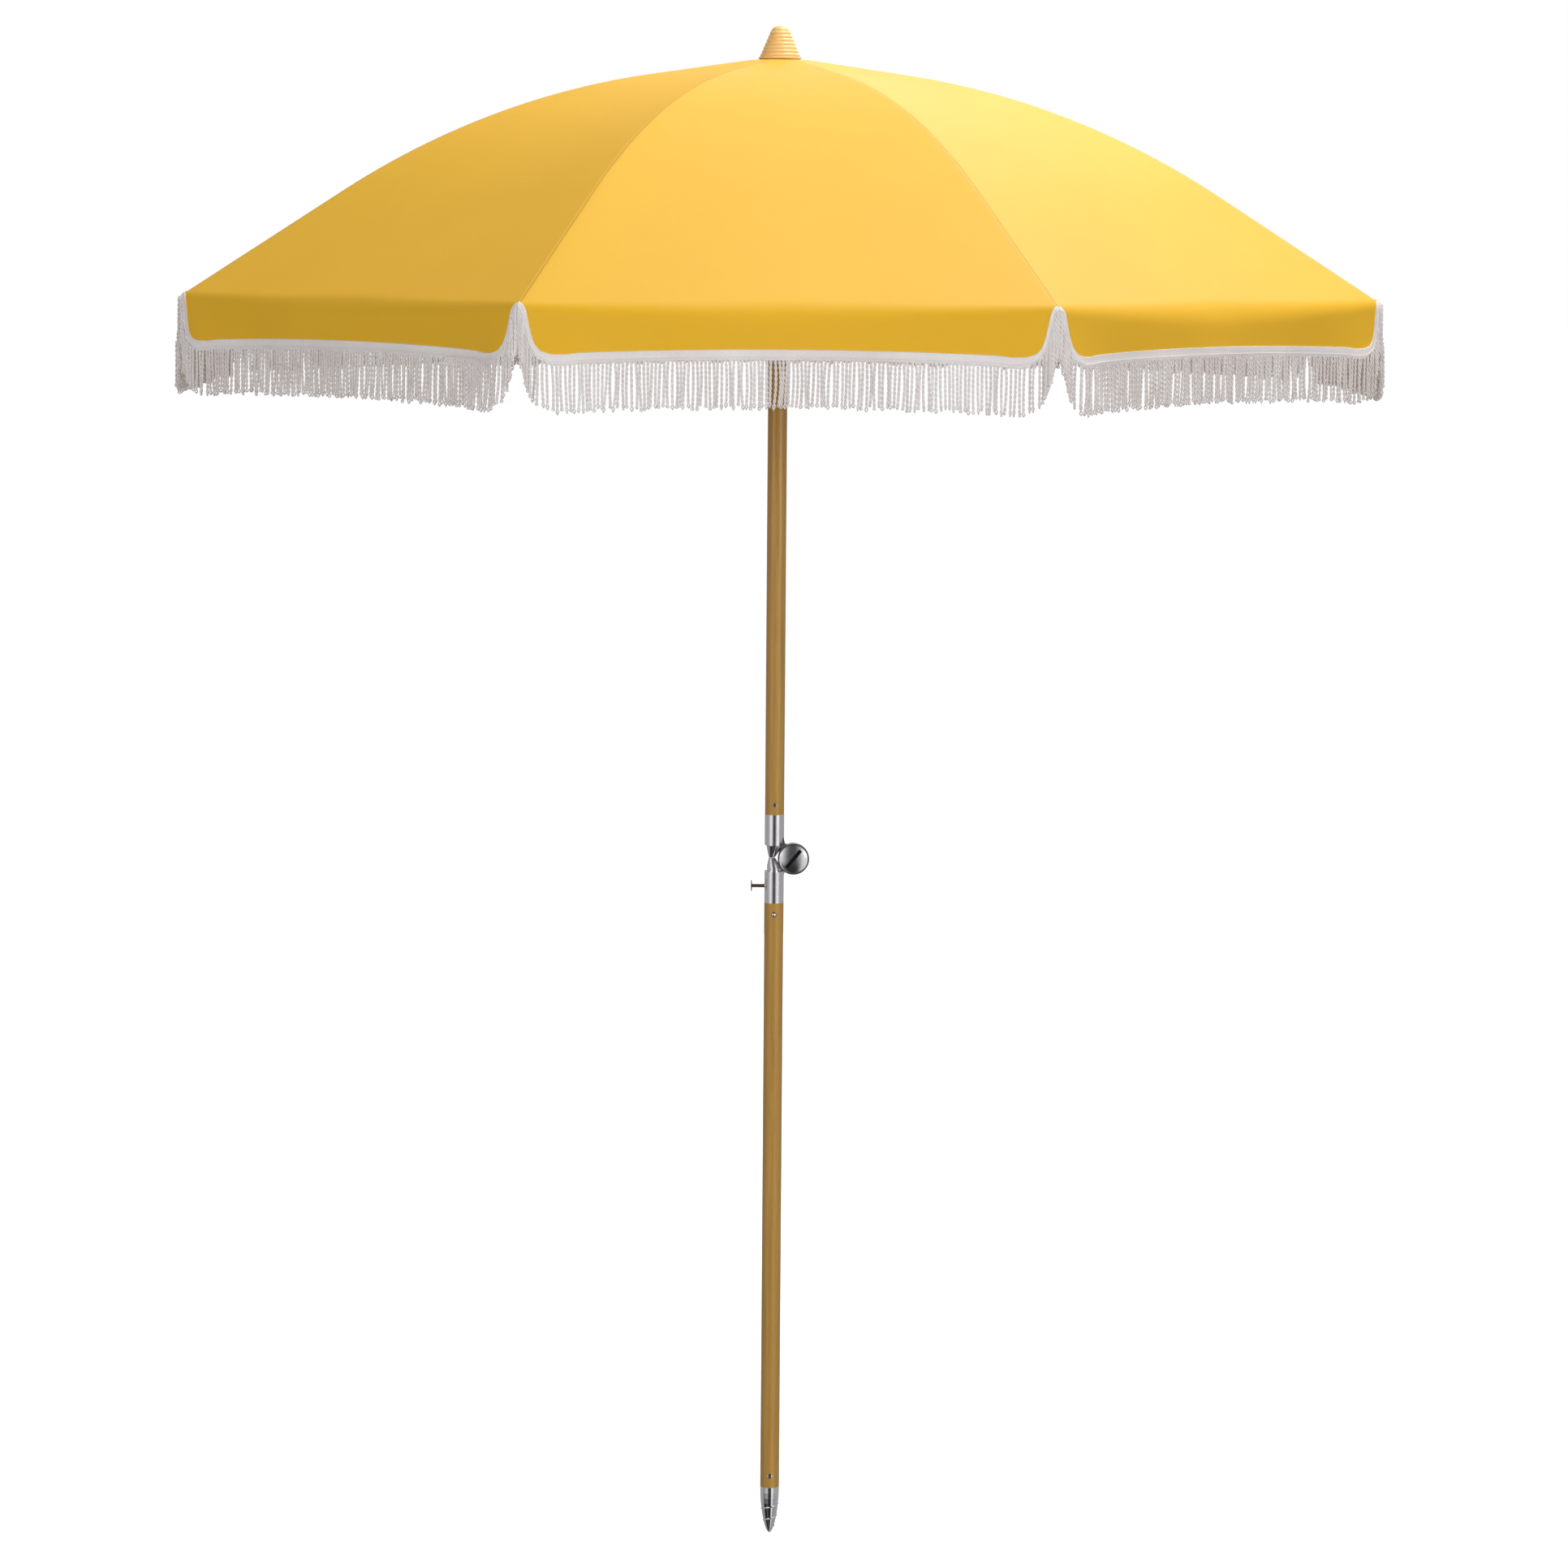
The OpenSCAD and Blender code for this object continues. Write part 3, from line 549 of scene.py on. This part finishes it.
def braid(i, side):
    """Woven band: chevron stitches over most of it, then a corded lower edge."""
    index = np.unique(nearest_edge_index(
        np.append(np.arange(0, EDGE_RUN[-1], 0.85 * MM), EDGE_RUN[-1])))
    run = EDGE_RUN[index][:, None]
    share = np.linspace(0, 1, BAND_COLUMNS)[None, :]
    offset = BAND_ROOT + share * band_width(index)[:, None]
    chevron = np.abs(np.sin(math.pi * (run / (2.6 * MM) + 1.4 * np.abs(share * 2 - 0.62))))
    cord = np.exp(-((share - 0.70) / 0.05) ** 2) + np.exp(-((share - 0.02) / 0.05) ** 2)
    edge = np.clip(np.minimum(share, 1 - share) / 0.08, 0, 1)
    lift = (0.5 + edge * (0.9 + 0.9 * chevron + 0.9 * cord)) * MM
    index = index[:, None].repeat(BAND_COLUMNS, 1)
    front = band_point(index, offset, lift, side)
    back = band_point(index, offset, np.full_like(lift, 0.35 * MM), side)
    points = np.concatenate([front.reshape(-1, 3), back.reshape(-1, 3)])
    obj = make_mesh(piece_name("braid", i, side), turned(points, rib_angle(i)),
                    shell_faces(*front.shape[:2], flip=side < 0), CORD)
    gather(obj, i)
    return obj


def strand_template(turns, phase, rings=38):
    """Two-ply cord hanging from the origin: down one ply, round a loop and up the other."""
    ply, helix = 0.92 * MM, 0.95 * MM
    down = np.linspace(0, 1, rings)
    angle = 2 * math.pi * turns * down + phase
    loop = np.clip((down - 0.93) / 0.07, 0, 1)
    spread = helix * (1 + 0.9 * np.sin(loop * math.pi / 2)) * np.where(down > 0.985, 0.75, 1)
    first = np.stack([spread * np.cos(angle), spread * np.sin(angle), -down], 1)
    second = first[::-1] * [-1, -1, 1]
    path = np.concatenate([first, [[0, 0, -1.018]], second]) * [1, 1, STRAND_L]
    tangent = np.gradient(path, axis=0)
    tangent /= np.linalg.norm(tangent, axis=1, keepdims=True)
    guide = np.cross(tangent, np.array([math.sin(phase), -math.cos(phase), 0.3]))
    guide /= np.linalg.norm(guide, axis=1, keepdims=True)
    other = np.cross(tangent, guide)
    around = np.linspace(0, 2 * math.pi, STRAND_SIDES, endpoint=False)[None, :, None]
    shell = path[:, None] + ply * (np.cos(around) * guide[:, None]
                                   + np.sin(around) * other[:, None])
    return shell.reshape(-1, 3), len(path)


def tube_faces(rings, sides):
    k, j = np.meshgrid(np.arange(rings - 1), np.arange(sides), indexing="ij")
    nxt = (j + 1) % sides
    return np.stack([k * sides + j, (k + 1) * sides + j, (k + 1) * sides + nxt, k * sides + nxt],
                    -1).reshape(-1, 4)


TEMPLATES = [strand_template(STRAND_L / STRAND_LAY * twist, phase) for twist, phase in
             zip(rng.uniform(0.94, 1.06, STRAND_KINDS), rng.uniform(0, 2 * math.pi, STRAND_KINDS))]


def fringe(i, side):
    """Looped cords hanging from the lower edge of the band, all the way into the notch."""
    count = int(EDGE_RUN[-1] / STRAND_STEP)
    index = nearest_edge_index((np.arange(count) + 0.5) * EDGE_RUN[-1] / count)
    drift = np.convolve(rng.normal(0, 1, count + 8), np.hanning(9) / 4, "valid")
    points, faces, start = [], [], 0
    for at, lean in zip(index, drift):
        template, rings = TEMPLATES[rng.integers(len(TEMPLATES))]
        hang = band_width(at) - 3.6 * MM
        in_notch = EDGE[at, 0] < 34 * MM
        lift = rng.uniform(0.6, 4.2 if in_notch else 1.8) * MM
        top = band_point(np.array([at]), np.array([hang]), np.array([lift]), side)[0]
        body = template.copy()
        body[:, 2] *= rng.uniform(0.95, 1.05)
        share = np.clip(-body[:, 2] / STRAND_L, 0, 1.2)[:, None]
        sway = np.array([rng.normal(0, 1.0), 2.0 * lean + rng.normal(0, 0.7)]) * MM
        bow = rng.normal(0, 0.7, 2) * MM
        body[:, :2] += sway * share ** 1.4 + bow * np.sin(share * math.pi)
        points.append(body + top)
        faces.append(tube_faces(rings, STRAND_SIDES) + start)
        start += len(body)
    points = turned(np.concatenate(points), rib_angle(i))
    obj = make_mesh(piece_name("fringe_cords", i, side), points, np.concatenate(faces), CORD)
    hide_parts(f"fringe_{i}")
    gather(obj, i)
    return obj


for i in range(1, RIBS + 1):
    canopy_sector(i)
    for side in (1, -1):
        cloth, area = valance(i, side)
        trim = [braid(i, side), fringe(i, side)]

# ---------------------------------------------------------------- carried-over CAD pieces
slot_of = {s["node"]: s["material_slot"] for s in frame["record"]["subparts"]}
for node, obj in frame["nodes"].items():
    material = KNOB if node == "tilt_knob" else BY_SLOT.get(slot_of[node])
    if material is not None:
        obj.data.materials.clear()
        obj.data.materials.append(material)


# ---------------------------------------------------------------- stage, light and camera
def stage_floor():
    n = material_nodes("pale_floor")
    cloud = n.noise(n.place(), 0.6, 2)
    n.finish(Base_Color=n.ramp(cloud, [(0.0, (0.80, 0.80, 0.80)), (1.0, (0.84, 0.84, 0.84))]),
             Roughness=0.9, Emission_Color=(1, 1, 1, 1), Emission_Strength=0.8)
    size = 60.0
    floor = make_mesh("floor", [(-size, -size, 0), (size, -size, 0), (size, size, 0),
                                (-size, size, 0)], [[0, 1, 2, 3]], n.owner, smooth=False)
    floor.visible_diffuse = False
    floor.visible_glossy = False


def area_light(name, place, target, size, power, glossy=True):
    data = bpy.data.lights.new(name, "AREA")
    data.shape = "DISK"
    data.size = size
    data.energy = power
    light = bpy.data.objects.new(name, data)
    light.location = place
    light.visible_glossy = glossy
    light.rotation_euler = (Vector(target) - Vector(place)).to_track_quat("-Z", "Y").to_euler()
    bpy.context.scene.collection.objects.link(light)


def studio_world():
    """White to look at, dim and even for matt surfaces, and a striped studio for glossy ones."""
    n = Nodes(bpy.data.worlds.new("soft_studio"))
    ray = n.add("ShaderNodeTexCoord").outputs["Generated"]
    x, y, z = n.add("ShaderNodeSeparateXYZ", {"Vector": ray}).outputs

    def grey_ramp(value, low, high, stops):
        """Grey levels at stops given between low and high."""
        share = n.math("DIVIDE", n.math("SUBTRACT", value, low), high - low)
        return n.ramp(share, [((at - low) / (high - low), (grey,) * 3) for at, grey in stops])

    def backdrop(colour, strength):
        return n.add("ShaderNodeBackground", {0: colour, 1: strength}).outputs[0]

    def choose(factor, otherwise, chosen):
        return n.add("ShaderNodeMixShader", {0: factor, 1: otherwise, 2: chosen}).outputs[0]

    # Degrees around from -Y: soft boxes stand either side of a dark gap.
    around = n.math("MULTIPLY", n.math("ARCTAN2", x, n.math("MULTIPLY", y, -1.0)), math.degrees(1))
    level = grey_ramp(around, -180, 180, [
        (-180, 0.46), (-80, 0.42), (-56, 0.62), (-44, 0.95), (-30, 0.95), (-14, 0.10), (8, 0.04),
        (18, 0.40), (26, 0.95), (44, 0.95), (60, 0.46), (180, 0.46)])
    low = grey_ramp(around, -180, 180, [
        (-180, 0.30), (-88, 0.34), (-74, 0.02), (-48, 0.02), (-36, 0.10), (-20, 0.07),
        (-10, 0.015), (16, 0.03), (24, 0.85), (38, 0.85), (48, 0.22), (70, 0.38)])
    stripes = n.mix(grey_ramp(z, -1, 1, [(-0.45, 0.0), (-0.25, 1.0)]), low, level)
    matt = grey_ramp(z, -1, 1, [(-0.4, 0.28), (0.0, 0.20), (0.6, 0.24), (1.0, 0.30)])
    rays = n.add("ShaderNodeLightPath").outputs
    shown = choose(rays["Is Glossy Ray"], backdrop(matt, 1.0), backdrop(stripes, 1.05))
    shown = choose(rays["Is Camera Ray"], shown, backdrop((1, 1, 1, 1), 1.0))
    n.plug(n.tree.nodes["World Output"].inputs[0], shown)
    bpy.context.scene.world = n.owner


def lights():
    area_light("key", (1.1, 0.3, 4.5), (0, 0, 1.8), 2.0, 105)
    area_light("fill_right", (3.5, -3.5, 1.7), (0, 0, 1.2), 2.4, 47)
    area_light("fill_left", (-3.5, -3.5, 1.7), (0, 0, 1.2), 2.4, 28)
    area_light("front", (0, -5.2, 1.8), (0, 0, 1.2), 2.6, 88, glossy=False)
    area_light("back", (1.5, 4.5, 4.0), (0, 0, 1.6), 3.0, 60)


def camera():
    """Eye level a little above the rim, turned and rolled slightly as the pole leans in the view."""
    distance, height = 5.47, 1.77
    swing, pitch = math.radians(0.918), math.radians(-5.275)
    yaw, roll = math.radians(-1.026), math.radians(0.435)
    data = bpy.data.cameras.new("camera")
    data.sensor_width = 36
    data.lens = 95.74
    data.shift_y = -0.12
    cam = bpy.data.objects.new("camera", data)
    cam.location = (-distance * math.sin(swing), -distance * math.cos(swing), height)
    turn = Matrix.Rotation(yaw, 3, "Z") @ Matrix.Rotation(math.pi / 2 + pitch, 3, "X")
    cam.rotation_euler = (turn @ Matrix.Rotation(roll, 3, "Z")).to_euler()
    bpy.context.scene.collection.objects.link(cam)
    bpy.context.scene.camera = cam


stage_floor()
studio_world()
lights()
camera()
bpy.context.scene.view_settings.view_transform = "Standard"
